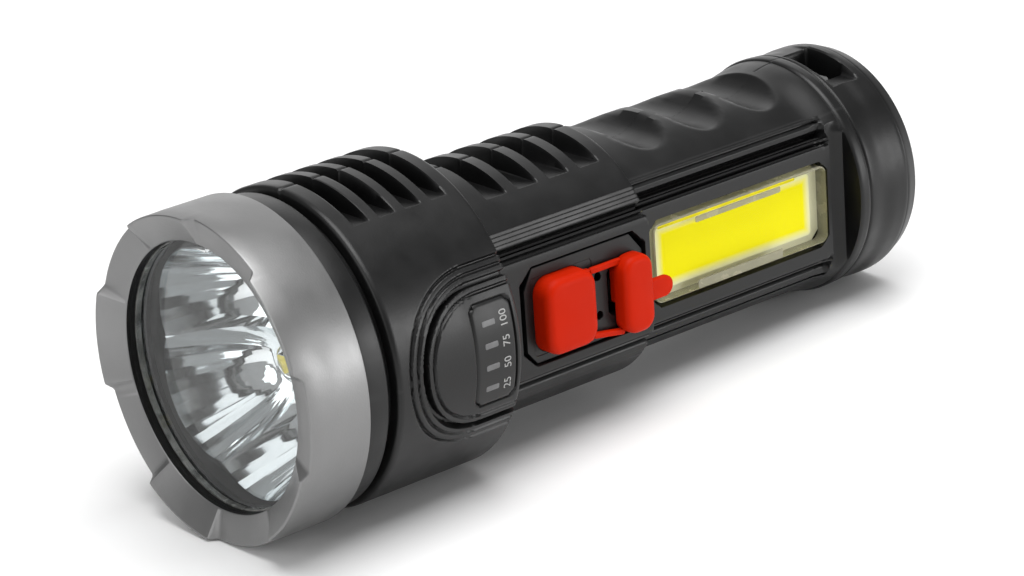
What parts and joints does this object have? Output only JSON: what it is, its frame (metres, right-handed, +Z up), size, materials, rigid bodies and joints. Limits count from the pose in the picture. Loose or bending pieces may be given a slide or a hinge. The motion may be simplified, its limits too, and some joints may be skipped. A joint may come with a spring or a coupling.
{
  "type": "hand torch",
  "caption": "Handheld rechargeable torch with a clustered lamp head, side floodlight, charge gauge, push button and hinged port cover.",
  "frame": {"origin": "centre of the flat tail face, on the body's long axis", "axes": "+X along the beam, +Y out of the control panel, +Z up through the fins, finger grooves and lanyard eye"},
  "size_m": [0.1442, 0.0558, 0.0558],
  "materials": {
    "black_abs": "satin moulded",
    "gunmetal": "satin metallic paint",
    "red_silicone": "smooth silicone",
    "black_rubber": "matt",
    "clear_plastic": "clear polished",
    "smoked_plastic": "satin smoked",
    "mirror_plating": "vacuum-plated mirror",
    "aluminium": "turned",
    "circuit_board": "solder mask",
    "phosphor": "silicone-bound phosphor",
    "white_board": "white solder mask",
    "nickel": "nickel plated",
    "cell_wrap": "shrink wrap",
    "grey_abs": "moulded"
  },
  "bodies": {
    "torch": {"housing_panel_side": "black_abs", "housing_back_side": "black_abs", "tail_cap": "black_abs", "tail_seal": "black_rubber", "head_collar": "black_abs", "bezel_ring": "gunmetal", "lens_seal": "black_rubber", "front_lens": "clear_plastic", "reflector": "mirror_plating", "led_board": "white_board", "heat_spreader": "aluminium", "main_lamp_1": "phosphor", "main_lamp_2": "phosphor", "main_lamp_3": "phosphor", "main_lamp_4": "phosphor", "main_lamp_5": "phosphor", "gauge_window": "smoked_plastic", "light_guide": "clear_plastic", "gauge_board": "circuit_board", "gauge_led_100": "white_board", "gauge_led_75": "white_board", "gauge_led_50": "white_board", "gauge_led_25": "white_board", "control_plate": "black_abs", "button_boot": "red_silicone", "cob_board": "white_board", "cob_phosphor": "phosphor", "cob_lens": "clear_plastic", "battery_cell": "cell_wrap", "battery_sled": "grey_abs", "cell_tab_rear": "nickel", "cell_tab_front": "nickel", "cell_lead": "black_rubber", "lamp_lead_upper": "red_silicone", "lamp_lead_lower": "black_rubber", "control_board": "circuit_board", "board_screw_1": "nickel", "board_screw_2": "nickel", "board_screw_3": "nickel", "board_screw_4": "nickel", "power_switch": "black_abs", "charging_socket": "nickel"},
    "button": {"power_button": "red_silicone"},
    "plunger": {"switch_plunger": "grey_abs"},
    "cover": {"port_cover": "red_silicone"}
  },
  "joints": [
    {"name": "button_press", "type": "slide", "parent": "torch", "child": "button", "axis": [0, -1, 0], "range_m": [0, 0.0008], "stiffness_N_per_m": 2500},
    {"name": "plunger_press", "type": "slide", "parent": "torch", "child": "plunger", "axis": [0, -1, 0], "range_m": [0, 0.0006]},
    {"name": "cover_hinge", "type": "hinge", "parent": "torch", "child": "cover", "pos_m": [0.0772, 0.0202, 0], "axis": [0, 0, -1], "range_deg": [0, 95], "stiffness_Nm_per_rad": 0.004}
  ],
  "couplings": [
    {"joint": "plunger_press", "follows": "button_press", "ratio": 0.75}
  ]
}
